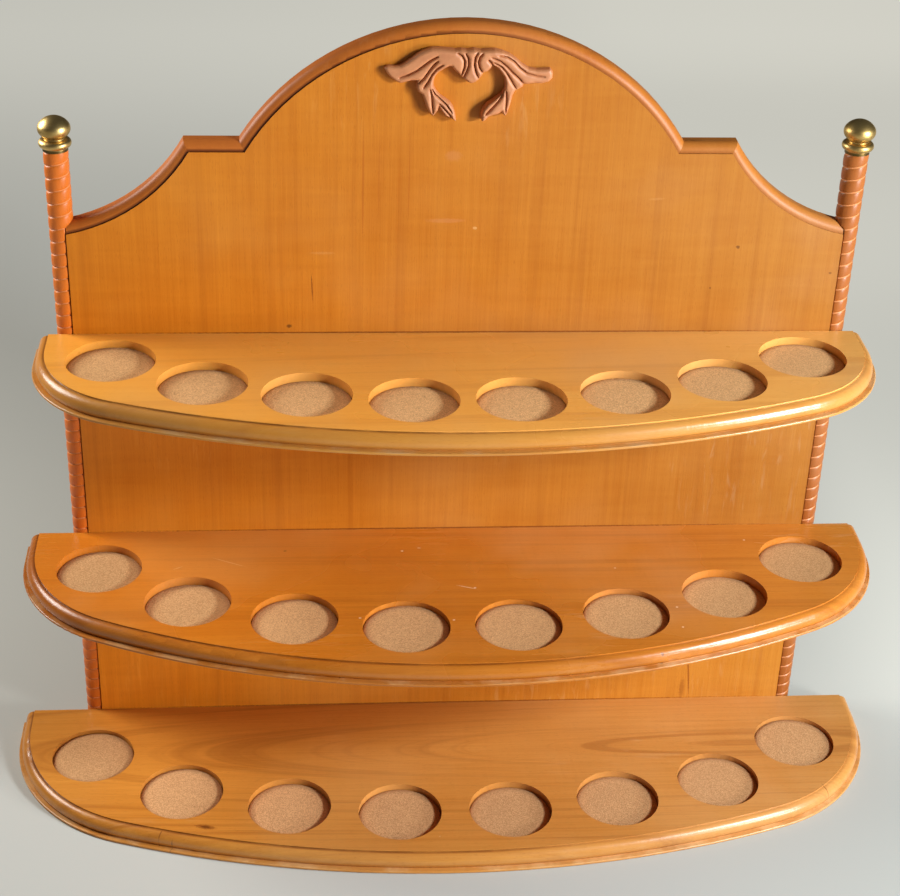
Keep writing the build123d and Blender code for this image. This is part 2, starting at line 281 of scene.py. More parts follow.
class SharedEffects:
    """The node groups that several finishes use, each built once."""

    # Cycles per metre along the grain, across it and into the wood
    SWAY = (2.4, 9, 9)
    STREAKS = (5, 330, 330)
    FIBRES = (22, 1300, 1300)
    PORES = (130, 1300, 1300)
    RIPPLE = (150, 20, 20)
    CLOUDS = (9, 15, 15)
    SCUFFS = (30, 240, 160)

    def __init__(self) -> None:
        """Builds all groups."""
        self.grain = self.build_grain()
        self.wear = self.build_wear()

    def build_grain(self) -> bpy.types.NodeTree:
        """Wood grain that runs along the X axis of its coordinates.

        Returns:
            A group that puts out growth rings, streaks, fibres, pores, ripple and clouds, each from 0 to 1.
        """
        w, given = new_group("wood_grain", ("Vector", "Heart"), ("Ring spacing", "Cathedral", "Waviness", "Seed"))
        seed = given["Seed"]
        x, y, z = w.split(given["Vector"])
        seeded = w.joined(w.maths("ADD", x, seed), w.maths("ADD", y, seed), z)

        # The board cuts through cones of growth rings, so a ring runs as a long pointed arch
        heart_x, heart_y, _ = w.split(given["Heart"])
        sway = w.maths("SUBTRACT", w.noise(w.mapped(seeded, self.SWAY), 1.0, 2.0), 0.5)
        depth = w.times(w.maths("SUBTRACT", x, heart_x), given["Cathedral"])
        depth = w.maths("ADD", depth, w.times(z, 0.3))
        across = w.maths("ADD", w.maths("SUBTRACT", y, heart_y), w.times(sway, given["Waviness"]))
        radius = w.maths("SQRT", w.maths("ADD", w.maths("POWER", across, 2.0), w.maths("POWER", depth, 2.0)))
        turns = w.maths("DIVIDE", radius, given["Ring spacing"])
        growth = w.noise(w.joined(turns, w.times(x, 2.0), seed), 1.0, 4.0, 0.6)

        return w.put_out({
            "Rings": w.remapped(growth, 0.50, 0.68),
            "Streaks": w.noise(w.mapped(seeded, self.STREAKS), 1.0, 3.0, 0.65),
            "Fibres": w.noise(w.mapped(seeded, self.FIBRES), 1.0, 3.0, 0.6),
            "Pores": w.remapped(w.cells(w.mapped(seeded, self.PORES), 1.0), 0.10, 0.24, 1.0, 0.0),
            "Ripple": w.noise(w.mapped(seeded, self.RIPPLE), 1.0, 2.0, 0.5, 0.4),
            "Clouds": w.noise(w.mapped(seeded, self.CLOUDS), 1.0),
        })

    def build_wear(self) -> bpy.types.NodeTree:
        """Small chips, rubs and haze of years of use.

        Returns:
            A group that puts out chips, scuffs and haze, each from 0 to 1.
        """
        w, given = new_group("years_of_use", ("Vector",), ("Seed",))
        seeded = w.joined(*(w.maths("ADD", part, given["Seed"]) for part in w.split(given["Vector"])))
        spots = w.remapped(w.cells(seeded, 42.0), 0.03, 0.055, 1.0, 0.0)
        rub = w.noise(w.mapped(seeded, self.SCUFFS), 1.0, 3.0, 0.6, 0.6)
        patch = w.remapped(w.noise(seeded, 9.0, 2.0), 0.52, 0.70)
        return w.put_out({
            "Chips": w.times(spots, w.remapped(w.noise(seeded, 33.0, 1.0), 0.66, 0.72)),
            "Scuffs": w.times(w.remapped(rub, 0.56, 0.68), patch),
            "Haze": w.remapped(w.noise(seeded, 7.0, 3.0, 0.6), 0.42, 0.72),
        })


# Finishes


class Finish:
    """A finish that makes one material, named by its field."""

    name: str

    def material(self, *follows: object) -> bpy.types.Material:
        """Builds the finish.

        Args:
            *follows: What the finish follows besides its fields, where it follows anything.

        Returns:
            The material.
        """
        mat = bpy.data.materials.new(self.name)
        mat.use_nodes = True
        w = Wiring(mat.node_tree)
        shader = mat.node_tree.nodes["Principled BSDF"]
        for name, value in self.sockets(w, *follows).items():
            w.feed(shader.inputs[name], value)
        return mat


@dataclass(frozen=True)
class Mark:
    """One small knot, scratch or stained spot, or a long line of painted shade, on a flat face, in millimetres and
    degrees.
    """

    x: float
    y: float
    half_length: float
    half_width: float
    colour: Display
    strength: float
    turn: float = 0.0


@dataclass(frozen=True)
class ShelfEdge:
    """What painted shade and rubs on a shelf follow: its top, the depths of its moulding's parts, and its seats."""

    top: float
    seats: tuple[Pair, ...]
    seat_radius: float
    rub: float
    age: Pair
    quirk: float = 0.75 * MM
    lip: float = 10.9 * MM
    tuck_shade: float = 9.5 * MM
    line: float = 0.5 * MM

    def laid(self, w: Wiring, colour: Socket, place: tuple[Socket, ...]) -> Socket:
        """Lays painted shade in the quirk, under the bead and on the moulding, rubs on the lip, and barer wood in
        the seats.

        Args:
            w: The material's wiring.
            colour: The wood's colour.
            place: The three parts of the shaded point's place.

        Returns:
            The colour with the wear and the painted shade.
        """
        x, y, z = place
        flat = w.joined(x, y, 0.0)
        seats = [w.near(flat, seat, (self.seat_radius, self.seat_radius)) for seat in self.seats]
        nearest = reduce(lambda first, second: w.maths("MINIMUM", first, second), seats)
        outside = w.remapped(nearest, 1.01, 1.04)
        patches = w.noise(flat, 26.0, 4.0, 0.65)

        # Painted shade: a dark line in the quirk, strongest on the left
        quirk_shade = w.times(
            w.band(z, self.top - self.quirk, self.line), outside, w.remapped(x, -0.02, 0.14, 0.75, 0.1),
            w.remapped(patches, 0.3, 0.6, 0.55, 1.0),
        )
        rub = w.remapped(patches, 0.44, 0.62, 0.05, self.rub)
        rub = w.times(w.band(z, self.top - self.lip, self.line), outside, rub)
        colour = w.over(w.over(colour, quirk_shade, (104, 46, 14)), rub, (238, 196, 142))

        # Painted shade: the moulding below the top is darkened, by an amount that runs from the left to the right
        moulding_shade_mask = w.remapped(z, self.top - 1.2 * MM, self.top - 0.6 * MM, 1.0, 0.0)
        moulding_shade_mask = w.times(moulding_shade_mask, outside, w.remapped(x, -0.28, 0.2, *self.age))
        colour = w.blended(moulding_shade_mask, colour, (0.58, 0.50, 0.42), "MULTIPLY")
        # Painted shade: a dark line where the bead tucks in above the lip, stronger on the right
        tuck_shade = w.times(w.band(z, self.top - self.tuck_shade, 0.45 * MM), w.remapped(x, -0.02, 0.12, 0.15, 0.6), outside)
        inside = w.remapped(z, self.top - 0.9 * MM, self.top - 0.3 * MM, 0.8, 0.0)
        inside = w.times(w.remapped(nearest, 0.985, 1.012, 1.0, 0.0), inside)
        return w.over(w.over(colour, tuck_shade, (112, 54, 18)), inside, (212, 152, 108))


@dataclass(frozen=True)
class CrestMoulding:
    """What the finish of the board's edge and the painted light on its foot follow: how far the moulding lies behind
    the face, and the heights of that foot.
    """

    face: float
    quirk: float = 0.75 * MM
    painted_light_foot: Pair = (0.13, 0.15)

    def laid(self, w: Wiring, colour: Socket, place: tuple[Socket, ...]) -> Socket:
        """Paints light on the foot of the board, stains its edge redder with painted shade strongest on the left,
        and lays painted shade in the quirk.

        Args:
            w: The material's wiring.
            colour: The wood's colour.
            place: The three parts of the shaded point's place.

        Returns:
            The colour, stained, and with the painted light and shade.
        """
        x, y, z = place
        behind = w.maths("SUBTRACT", y, self.face)
        # Painted light: the board is brightened below these heights, most at its foot
        low = w.remapped(z, *self.painted_light_foot, 1.0, 0.0)
        colour = w.blended(low, colour, (1.38, 1.42, 1.3), "MULTIPLY")
        left = w.remapped(x, -0.12, 0.22, 1.0, 0.3)
        # The edge is reddened: partly real staining and partly painted shade, strongest on the left
        stain_and_shade = w.times(w.remapped(behind, 0.3 * MM, 1.0 * MM, 0.0, 0.6), left)
        # Painted shade: a dark line in the quirk, strongest on the left
        quirk_shade = w.times(w.band(behind, self.quirk, 0.6 * MM), left)
        return w.over(w.over(colour, stain_and_shade, (186, 94, 46)), quirk_shade, (84, 32, 8))


@dataclass(frozen=True)
class RodGroove:
    """What the pale wood in the grooves of two upright rods follows."""

    middle: Pair
    radius: float

    def laid(self, w: Wiring, colour: Socket, place: tuple[Socket, ...]) -> Socket:
        """Shows barer wood in the grooves, by the place's distance from the rods' middles."""
        flat = w.joined(w.maths("ABSOLUTE", place[0]), place[1], 0.0)
        away = w.near(flat, self.middle, (self.radius, self.radius))
        return w.over(colour, w.remapped(away, 0.90, 0.965, 0.6, 0.0), (238, 168, 114))


@dataclass(frozen=True)
class VarnishedWood(Finish):
    """Clear-varnished wood with grain, ripple, marks and wear, and painted light and shade across the rack from left
    to right.
    """

    name: str
    grain: Grain
    light: Display
    dark: Display
    line: Display
    haze: float
    roughness: float
    seed: float
    rings: float = 0.3
    streaks: float = 0.6
    fibres: float = 0.8
    ripple: float = 0.1
    clouds: float = 0.9
    gloss: float = 0.55
    ring_spacing: float = 0.009
    cathedral: float = 0.05
    waviness: float = 0.012
    heart: Pair = (0.25, 0.022)
    # Painted light and shade: colour multipliers at the rack's left and right ends
    left_painted_light: Three = (1.0, 1.0, 0.7)
    right_painted_light: Three = (0.9, 1.03, 1.3)
    rub: float = 0.5
    age: Pair = (0.65, 0.3)
    marks: tuple[Mark, ...] = ()
    marked_to: float = 82.0 * MM

    def sockets(
        self, w: Wiring, effects: SharedEffects, wear_and_shade_place: ShelfEdge | CrestMoulding | RodGroove
    ) -> dict[str, object]:
        """Wires the finish.

        Args:
            w: The material's wiring.
            effects: The shared node groups.
            wear_and_shade_place: What the wear and the painted shade follow on this kind of piece.

        Returns:
            What each socket of the shader is fed.
        """
        place = w.object_coordinates()
        x, y, z = w.split(place)
        flat = w.joined(x, y, 0.0)
        if self.grain is Grain.UPRIGHT:
            # The third part keeps the marks off the back
            flat = w.joined(x, z, w.remapped(y, self.marked_to, self.marked_to + MM, 0.0, 5.0))
            place = w.joined(z, x, y)
        grain = w.group(
            effects.grain, Vector=place, Heart=(*self.heart, 0.0), Ring_spacing=self.ring_spacing,
            Cathedral=self.cathedral, Waviness=self.waviness, Seed=self.seed,
        )
        wear = w.group(effects.wear, Vector=place, Seed=self.seed)

        tone = 0.5
        for output, strength in (
            ("Fibres", self.fibres), ("Streaks", self.streaks), ("Ripple", self.ripple), ("Clouds", self.clouds),
        ):
            tone = w.maths("MULTIPLY_ADD", w.maths("SUBTRACT", grain[output], 0.5), strength, tone)
        colour = w.blended(tone, linear(*self.dark), linear(*self.light))
        for share, cover in (
            (w.times(grain["Rings"], self.rings), self.line),
            (w.times(grain["Pores"], 0.35), self.line),
            (w.times(wear["Haze"], self.haze), (226, 170, 112)),
            (w.times(wear["Scuffs"], 0.16), (232, 178, 120)),
            (wear["Chips"], (240, 202, 158)),
        ):
            colour = w.over(colour, share, cover)
        # Painted light and shade: the colour is multiplied by a colour that runs from the rack's left to its right
        painted_light_tint = w.blended(w.remapped(x, -0.28, 0.28), self.left_painted_light, self.right_painted_light)
        colour = self.marked(w, w.blended(1.0, colour, painted_light_tint, "MULTIPLY"), flat)

        rough = w.maths("MULTIPLY_ADD", wear["Haze"], 0.10, self.roughness)
        relief = w.bumped(grain["Ripple"], 0.00012, w.bumped(grain["Fibres"], 0.00005))
        return {
            "Base Color": wear_and_shade_place.laid(w, colour, (x, y, z)),
            "Roughness": w.maths("MULTIPLY_ADD", wear["Scuffs"], 0.2, rough),
            "Specular IOR Level": self.gloss,
            "Normal": w.bumped(wear["Chips"], -0.0003, relief),
        }

    def marked(self, w: Wiring, colour: Socket, flat: Socket) -> Socket:
        """Lays the small marks over the wood.

        Args:
            w: The material's wiring.
            colour: The wood's colour.
            flat: Coordinates on the marked face.

        Returns:
            The colour with the marks.
        """
        if not self.marks:
            return colour
        ragged = w.times(w.maths("SUBTRACT", w.noise(flat, 700.0, 2.0), 0.5), 0.9)
        for mark in self.marks:
            size = (mark.half_length * MM, mark.half_width * MM)
            away = w.near(flat, (mark.x * MM, mark.y * MM), size, mark.turn)
            mask = w.remapped(w.maths("ADD", away, ragged), 0.5, 1.1, mark.strength, 0.0)
            colour = w.over(colour, mask, mark.colour)
        return colour


@dataclass(frozen=True)
class CorkFinish(Finish):
    """Bare pressed cork of small granules."""

    name: str = "pressed_cork"
    dark: Display = (202, 154, 102)
    light: Display = (240, 192, 134)
    low_shade_tint: Display = (252, 246, 248)
    granules: float = 1700.0

    def sockets(self, w: Wiring) -> dict[str, object]:
        """Wires the finish.

        Args:
            w: The material's wiring.

        Returns:
            What each socket of the shader is fed.
        """
        place = w.object_coordinates()
        fine = w.noise(place, 1500.0, 3.0, 0.7)
        tone = w.split(w.cells(place, self.granules, "Color"))[0]
        tone = w.maths("MULTIPLY_ADD", w.maths("SUBTRACT", fine, 0.5), 1.1, tone)
        colour = w.blended(tone, linear(*self.dark), linear(*self.light))
        # Painted shade: the cork darker and pinker towards the bottom, on the lower shelves
        low = w.maths("SUBTRACT", 1.0, w.remapped(w.split(place)[2], 0.0, 0.30))
        colour = w.blended(low, colour, linear(*self.low_shade_tint), "MULTIPLY")
        # Each disc's brightness factor: partly its own tone, partly painted shade
        colour = w.blended(1.0, colour, w.made("Attribute", {}, "Color", attribute_name=TONE_AND_SHADE), "MULTIPLY")
        # Painted shade: a darker ring round each disc's edge, next to the seat's wall
        rim = w.remapped(w.made("Attribute", {}, "Fac", attribute_name=RIM), 0.80, 1.0)
        colour = w.over(colour, w.times(rim, w.remapped(fine, 0.3, 0.6, 0.35, 0.7)), (150, 110, 76))
        speck = w.remapped(w.cells(place, 420.0), 0.10, 0.2, 1.0, 0.0)
        rare = w.remapped(w.noise(place, 260.0, 1.0), 0.58, 0.64)
        return {
            "Base Color": w.over(colour, w.times(speck, rare, 0.6), (130, 86, 52)),
            "Roughness": 0.92,
            "Specular IOR Level": 0.15,
            "Normal": w.bumped(fine, 0.0001, w.bumped(w.cells(place, self.granules), 0.00014)),
        }


@dataclass(frozen=True)
class CarvedFinish(Finish):
    """Matt stained wood of the carved ornament."""

    name: str = "carved_wood_stain"
    high: Display = (212, 144, 96)
    low: Display = (170, 102, 64)

    def sockets(self, w: Wiring) -> dict[str, object]:
        """Wires the finish: what each socket of the shader is fed."""
        place = w.object_coordinates()
        return {
            "Base Color": w.blended(w.noise(place, 160.0, 4.0, 0.6), linear(*self.low), linear(*self.high)),
            "Roughness": 0.48,
            "Normal": w.bumped(w.noise(place, 1400.0), 0.0001),
        }


@dataclass(frozen=True)
class BrassFinish(Finish):
    """Turned, polished brass under old lacquer, with painted shade on the narrow skirts below the collars."""

    skirt_top: float
    name: str = "lacquered_brass"

    def sockets(self, w: Wiring) -> dict[str, object]:
        """Wires the finish.

        Args:
            w: The material's wiring.

        Returns:
            What each socket of the shader is fed.
        """
        place = w.object_coordinates()
        tarnish = w.remapped(w.noise(place, 90.0, 2.0), 0.3, 0.7)
        colour = w.blended(tarnish, linear(222, 190, 124), linear(184, 152, 90))
        # Painted shade: the narrow band at the foot of each collar is darkened
        skirt_shade = w.remapped(w.split(place)[2], self.skirt_top - 0.5 * MM, self.skirt_top, 0.8, 0.0)
        return {
            "Base Color": w.over(colour, skirt_shade, (50, 34, 12)),
            "Metallic": 1.0,
            "Roughness": w.maths("MULTIPLY_ADD", tarnish, 0.05, 0.37),
            "Normal": w.bumped(w.noise(w.mapped(place, (20, 20, 2600)), 1.0, 2.0), 0.00002),
        }


@dataclass(frozen=True)
class SteelFinish(Finish):
    """Zinc-plated steel of the screws and studs."""

    name: str = "zinc_plate"

    def sockets(self, w: Wiring) -> dict[str, object]:
        """Wires the finish: what each socket of the shader is fed."""
        bloom = w.noise(w.object_coordinates(), 700.0, 3.0, 0.6)
        return {
            "Base Color": w.blended(bloom, linear(128, 128, 132), linear(186, 184, 178)),
            "Metallic": 1.0,
            "Roughness": w.maths("MULTIPLY_ADD", bloom, 0.2, 0.28),
        }


@dataclass(frozen=True)
class PaperFinish(Finish):
    """Pale paper, painted darker towards the right, that glows softly as painted light far from the rack, as a lit
    backdrop does, and beside the rack's right end.
    """

    name: str = "pale_paper"
    left: Three = (0.56, 0.56, 0.52)
    right: Three = (0.41, 0.41, 0.375)
    glow: tuple[float, ...] = (1.0, 0.98, 0.87, 1)

    def sockets(self, w: Wiring) -> dict[str, object]:
        """Wires the finish.

        Args:
            w: The material's wiring.

        Returns:
            What each socket of the shader is fed.
        """
        x, y, _ = w.split(w.object_coordinates())
        # Painted light: glow beside the rack's right end, where the board's shadow falls, far behind the rack, and
        # all round at a distance
        beside = w.times(
            w.remapped(x, 0.22, 0.42), w.remapped(y, -0.05, 0.12), w.remapped(y, 0.8, 1.5, 0.31, 0.03)
        )
        behind = w.times(w.remapped(y, 0.45, 1.75), w.remapped(x, -0.5, 0.8, 0.49, 0.56))
        around = w.remapped(w.near(w.joined(x, y, 0.0), (0.0, 1.2), (1.0, 1.0)), 1.8, 2.8, 0.0, 0.5)
        return {
            # Painted shade: the paper darker towards the right
            "Base Color": w.blended(w.remapped(x, -0.1, 0.5), self.left, self.right),
            "Roughness": 0.9,
            "Specular IOR Level": 0.1,
            "Emission Color": self.glow,
            "Emission Strength": w.maths("MAXIMUM", w.maths("ADD", beside, behind), around),
        }


def dress(piece: Piece, material: bpy.types.Material) -> None:
    """Gives every face of a piece one material."""
    piece.data.materials.clear()
    piece.data.materials.append(material)


# Studio


@dataclass(frozen=True)
class SoftBox:
    """One square studio light."""

    name: str
    place: Three
    size: float
    watts: float
    colour: Three = (1.0, 1.0, 1.0)


@dataclass
class Studio:
    """Camera, lights and floor of the picture."""

    camera_place: Three = (-0.10204, -1.0403, 0.87839)
    right: Three = (0.99697, -0.07136, 0.03105)
    up: Three = (0.00894, 0.50133, 0.86521)
    ahead: Three = (0.07731, 0.86231, -0.50044)
    focal_pixels: float = 1890.9
    frame_width: int = 900
    sensor: float = 36.0
    soft_boxes: tuple[SoftBox, ...] = (
        SoftBox("key_light", (0.79, -0.52, 0.70), 0.16, 13.0, (0.92, 1.0, 1.05)),
        SoftBox("low_key_light", (0.93, -0.68, 0.34), 0.24, 9.0),
        SoftBox("rear_light", (-0.85, 0.33, 0.74), 0.40, 8.0, (1.0, 0.98, 0.92)),
    )
    aim: Three = (0.0, 0.0, 0.22)
    sky: tuple[float, ...] = (0.95, 0.97, 1.0, 1.0)
    ambient: float = 0.05
    floor_size: float = 16.0
    floor_place: Three = (0, 2.0, -0.0002)

    def build(self) -> None:
        """Makes the camera, the lights, the world and the floor."""
        self.place_camera()
        for box in self.soft_boxes:
            self.hang(box)
        self.light_world()
        self.lay_floor()
        bpy.context.scene.view_settings.view_transform = "Standard"

    def place_camera(self) -> None:
        """Puts the camera where the photographer stood."""
        camera = bpy.data.cameras.new("camera")
        camera.sensor_width = self.sensor
        camera.lens = self.focal_pixels / self.frame_width * self.sensor
        eye = added("camera", camera)
        columns = Matrix((self.right, self.up, [-part for part in self.ahead])).transposed()
        eye.matrix_world = Matrix.Translation(self.camera_place) @ columns.to_4x4()
        bpy.context.scene.camera = eye

    def hang(self, box: SoftBox) -> None:
        """Hangs a soft box that looks at the rack.

        Args:
            box: The light's place, size and power.
        """
        light = bpy.data.lights.new(box.name, "AREA")
        light.size = box.size
        light.energy = box.watts
        light.color = box.colour
        lamp = added(box.name, light)
        lamp.location = box.place
        lamp.rotation_euler = (Vector(self.aim) - Vector(box.place)).to_track_quat("-Z", "Y").to_euler()

    def light_world(self) -> None:
        """Gives the room its even fill light."""
        world = bpy.data.worlds.new("room")
        bpy.context.scene.world = world
        world.use_nodes = True
        background = world.node_tree.nodes["Background"]
        background.inputs["Color"].default_value = self.sky
        background.inputs["Strength"].default_value = self.ambient

    def lay_floor(self) -> None:
        """Lays the paper under the rack."""
        bpy.ops.object.select_all(action="DESELECT")
        bpy.ops.mesh.primitive_plane_add(size=self.floor_size, location=self.floor_place)
        floor = bpy.context.object
        floor.name = "floor"
        bpy.ops.object.transform_apply(location=True)
        dress(floor, PaperFinish().material())


# The rack


DARK_KNOT = (92, 48, 18)
DARK_LINE = (118, 58, 18)
PALE_RUB = (236, 184, 118)
PALE_SPECK = (250, 218, 176)

BOARD_MARKS = (
    Mark(-95.5, 352, 11, 0.5, DARK_LINE, 0.75, 93),
    Mark(-88.7, 376.5, 9.5, 1.1, PALE_RUB, 0.12),
    Mark(-110.7, 324.4, 2.0, 1.5, DARK_KNOT, 0.75, 10),
    Mark(181.7, 380.5, 1.6, 1.3, DARK_KNOT, 0.7),
    Mark(245.4, 361.8, 1.2, 1.0, DARK_KNOT, 0.6),
    Mark(166.2, 351.1, 0.9, 0.8, DARK_KNOT, 0.6),
    Mark(125.4, 414.1, 6, 1.0, PALE_RUB, 0.1, 4),
    Mark(9.0, 393.9, 1.6, 1.2, PALE_RUB, 0.45),
    Mark(-10.0, 399.0, 14, 1.8, (206, 134, 84), 0.3),
    Mark(-6.5, 443.0, 6, 4.0, (198, 128, 80), 0.3),
    Mark(181.5, 38, 27, 0.7, DARK_LINE, 0.75, 96),
    Mark(178, 22, 10, 2.2, DARK_LINE, 0.45, 90),
    Mark(-63, 424, 44, 0.7, (176, 92, 24), 0.55, 90),
    Mark(-53, 426, 30, 0.5, (176, 92, 24), 0.45, 90),
    Mark(-34, 426, 36, 0.5, (176, 92, 24), 0.4, 90),
    # Painted shade: dark lines on the board along the tops of the three shelves, in the corners where they meet it
    Mark(0, 319.6, 249, 0.7, DARK_LINE, 0.8),
    Mark(0, 166.4, 249, 0.7, DARK_LINE, 0.8),
    Mark(0, 13.2, 249, 0.7, DARK_LINE, 0.8),
)
MIDDLE_MARKS = (
    Mark(-35.1, 47.0, 1.1, 0.9, PALE_SPECK, 0.9),
    Mark(-23.2, 50.5, 1.3, 0.7, PALE_SPECK, 0.9),
    Mark(6.0, 2.0, 7.5, 0.5, PALE_SPECK, 0.6, -20),
    Mark(11.5, 1.0, 1.0, 0.8, PALE_SPECK, 0.8),
    Mark(-5.3, -35.6, 1.0, 0.8, PALE_SPECK, 0.8),
    Mark(-66.3, -31.7, 1.0, 0.7, PALE_SPECK, 0.8),
    Mark(109.1, 22.4, 0.9, 0.8, PALE_SPECK, 0.7),
    Mark(205.2, 55.3, 0.9, 0.8, PALE_SPECK, 0.7),
    Mark(143.5, -24.9, 1.0, 0.7, PALE_SPECK, 0.7),
    Mark(143.4, -47.6, 1.0, 0.7, PALE_SPECK, 0.7),
    Mark(-186.9, 29.8, 4.0, 0.5, PALE_RUB, 0.5, 30),
    Mark(-152.4, 35.6, 15, 0.5, PALE_RUB, 0.5, -27),
    Mark(-115.2, 48.9, 1.3, 0.9, DARK_KNOT, 0.6),
    Mark(126.0, -72.3, 1.2, 0.9, DARK_KNOT, 0.6),
)
BASE_MARKS = (
    Mark(-170.2, -55.6, 8.0, 2.6, (128, 66, 22), 0.7, -14),
    Mark(-170.2, -55.6, 3.6, 1.2, (92, 46, 16), 0.7, -14),
    Mark(-200.5, -59.5, 3.0, 0.5, DARK_LINE, 0.7, 60),
    Mark(-193.4, -65.7, 3.0, 0.5, DARK_LINE, 0.7, 60),
    Mark(263.1, -29.5, 4.5, 0.5, DARK_LINE, 0.7, -58),
)
UPPER_MARKS = (
    Mark(67.9, -83.0, 9.0, 1.4, PALE_SPECK, 0.8, -6),
    Mark(84.0, -84.4, 7.0, 0.9, PALE_SPECK, 0.7, 3),
    Mark(104.0, -82.6, 12.0, 0.8, PALE_SPECK, 0.6, 6),
)


@dataclass
class WoodenParts:
    """Shelves and backboard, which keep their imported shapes."""

    board: VarnishedWood = VarnishedWood(
        "board_veneer_finish", Grain.UPRIGHT, (208, 128, 45), (190, 107, 28), (164, 84, 23),
        haze=0.14, roughness=0.40, seed=3.1, rings=0.25, streaks=1.0, ripple=0.6, clouds=1.1, gloss=0.25,
        ring_spacing=0.012, cathedral=0.02, waviness=0.02, heart=(0.3, 0.62),
        # Painted light and shade: the board warmer on the left, darker and cooler on the right
        left_painted_light=(1.13, 1.07, 0.52), right_painted_light=(0.66, 0.77, 1.02), marks=BOARD_MARKS,
    )
    upper: VarnishedWood = VarnishedWood(
        "upper_shelf_finish", Grain.ACROSS, (254, 180, 88), (240, 156, 64), (204, 118, 46),
        haze=0.35, roughness=0.27, seed=1.7, heart=(-0.3, 0.14), rub=0.75, age=(0.8, 0.8), marks=UPPER_MARKS,
    )
    middle: VarnishedWood = VarnishedWood(
        "middle_shelf_finish", Grain.ACROSS, (218, 132, 43), (196, 106, 28), (156, 78, 21),
        haze=0.22, roughness=0.26, seed=5.3, heart=(-0.2, -0.16), marks=MIDDLE_MARKS,
    )
    base: VarnishedWood = VarnishedWood(
        "base_shelf_finish", Grain.ACROSS, (222, 149, 72), (198, 121, 48), (156, 86, 32),
        haze=0.18, roughness=0.28, seed=8.9, rings=0.42, streaks=0.7, ripple=0.05, ring_spacing=0.0042,
        cathedral=0.10, waviness=0.010, age=(0.25, 0.0), marks=BASE_MARKS,
    )
    seat_margin: float = 0.25 * MM

    def build(self, frame: dict, effects: SharedEffects) -> None:
        """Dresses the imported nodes.

        Args:
            effects: The shared node groups.
        """
        crest = CrestMoulding(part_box("backboard")[0].y)
        dress(frame["nodes"]["backboard"], self.board.material(effects, crest))
        for tier, finish in (("upper", self.upper), ("middle", self.middle), ("base", self.base)):
            shelf = frame["nodes"][f"{tier}_shelf"]
            dress(shelf, finish.material(effects, self.edge(frame, tier, finish)))
            LOG.info("dressed %s", shelf.name)

    def edge(self, frame: dict, tier: str, finish: VarnishedWood) -> ShelfEdge:
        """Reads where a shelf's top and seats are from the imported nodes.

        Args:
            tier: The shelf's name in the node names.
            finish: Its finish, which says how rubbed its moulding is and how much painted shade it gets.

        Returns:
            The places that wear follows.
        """
        pads = sorted(name for name in frame["nodes"] if name.startswith(f"cork_pad_{tier}"))
        seats = tuple(middle_of(pad)[:2] for pad in pads)
        low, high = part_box(pads[0])
        radius = (high.x - low.x) / 2 + self.seat_margin
        return ShelfEdge(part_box(f"{tier}_shelf")[1].z, seats, radius, finish.rub, finish.age)


# Modelling by hand


def added(name: str, data: bpy.types.ID) -> Piece:
    """Adds an object to the scene.

    Args:
        name: Its name.
        data: Its mesh, light or camera.

    Returns:
        The object.
    """
    made = bpy.data.objects.new(name, data)
    bpy.context.scene.collection.objects.link(made)
    return made


def only(piece: Piece) -> None:
    """Selects one object alone and makes it the active one."""
    bpy.ops.object.select_all(action="DESELECT")
    piece.select_set(True)
    bpy.context.view_layer.objects.active = piece


@contextmanager
def editing(piece: Piece) -> Iterator[None]:
    """Keeps a piece in edit mode, at first with its whole mesh selected.

    Args:
        piece: The mesh object.
    """
    only(piece)
    bpy.ops.object.mode_set(mode="EDIT")
    bpy.ops.mesh.select_all(action="SELECT")
    yield
    bpy.ops.object.mode_set(mode="OBJECT")


def apply_modifier(piece: Piece, kind: str, **values: object) -> None:
    """Puts a modifier on a mesh and applies it at once.

    Args:
        piece: The mesh object.
        kind: Blender's name of the modifier type.
        **values: The modifier's settings.
    """
    only(piece)
    modifier = piece.modifiers.new(kind.lower(), kind)
    for name, value in values.items():
        setattr(modifier, name, value)
    bpy.ops.object.modifier_apply(modifier=modifier.name)


def settle(piece: Piece, angle: float = 35.0) -> None:
    """Applies a piece's place to its mesh, turns its faces outwards and smooths it below an angle.

    Args:
        piece: The mesh object.
        angle: Edges sharper than this, in degrees, stay crisp.
    """
    only(piece)
    bpy.ops.object.transform_apply(location=True, rotation=True, scale=True)
    with editing(piece):
        bpy.ops.mesh.remove_doubles(threshold=WELD)
        bpy.ops.mesh.normals_make_consistent(inside=False)
    bpy.ops.object.shade_smooth_by_angle(angle=math.radians(angle))


def drawn_line(name: str, points: list[Three]) -> Piece:
    """Draws a chain of edges, one extrude after another.

    Args:
        name: The object's name.
        points: The corners of the line, in metres.

    Returns:
        The object, out of edit mode.
    """
    bpy.ops.object.select_all(action="DESELECT")
    bpy.ops.mesh.primitive_plane_add(size=MM, location=points[0])
    line = bpy.context.object
    line.name = name
    bpy.ops.object.transform_apply(location=True)
    with editing(line):
        bpy.ops.mesh.merge(type="CENTER")
        for start, end in zip(points, points[1:]):
            step = Vector(end) - Vector(start)
            bpy.ops.mesh.extrude_vertices_move(TRANSFORM_OT_translate={"value": step})
    return line


def cylinder(name: str, sides: int, radius: float, height: float, level: float) -> Piece:
    """Adds an upright cylinder.

    Args:
        name: The object's name.
        sides: The number of its sides.
        radius: Its radius.
        height: Its height.
        level: The height of its middle.

    Returns:
        The cylinder, with its place applied.
    """
    bpy.ops.object.select_all(action="DESELECT")
    bpy.ops.mesh.primitive_cylinder_add(vertices=sides, radius=radius, depth=height, location=(0, 0, level))
    made = bpy.context.object
    made.name = name
    bpy.ops.object.transform_apply(location=True)
    return made


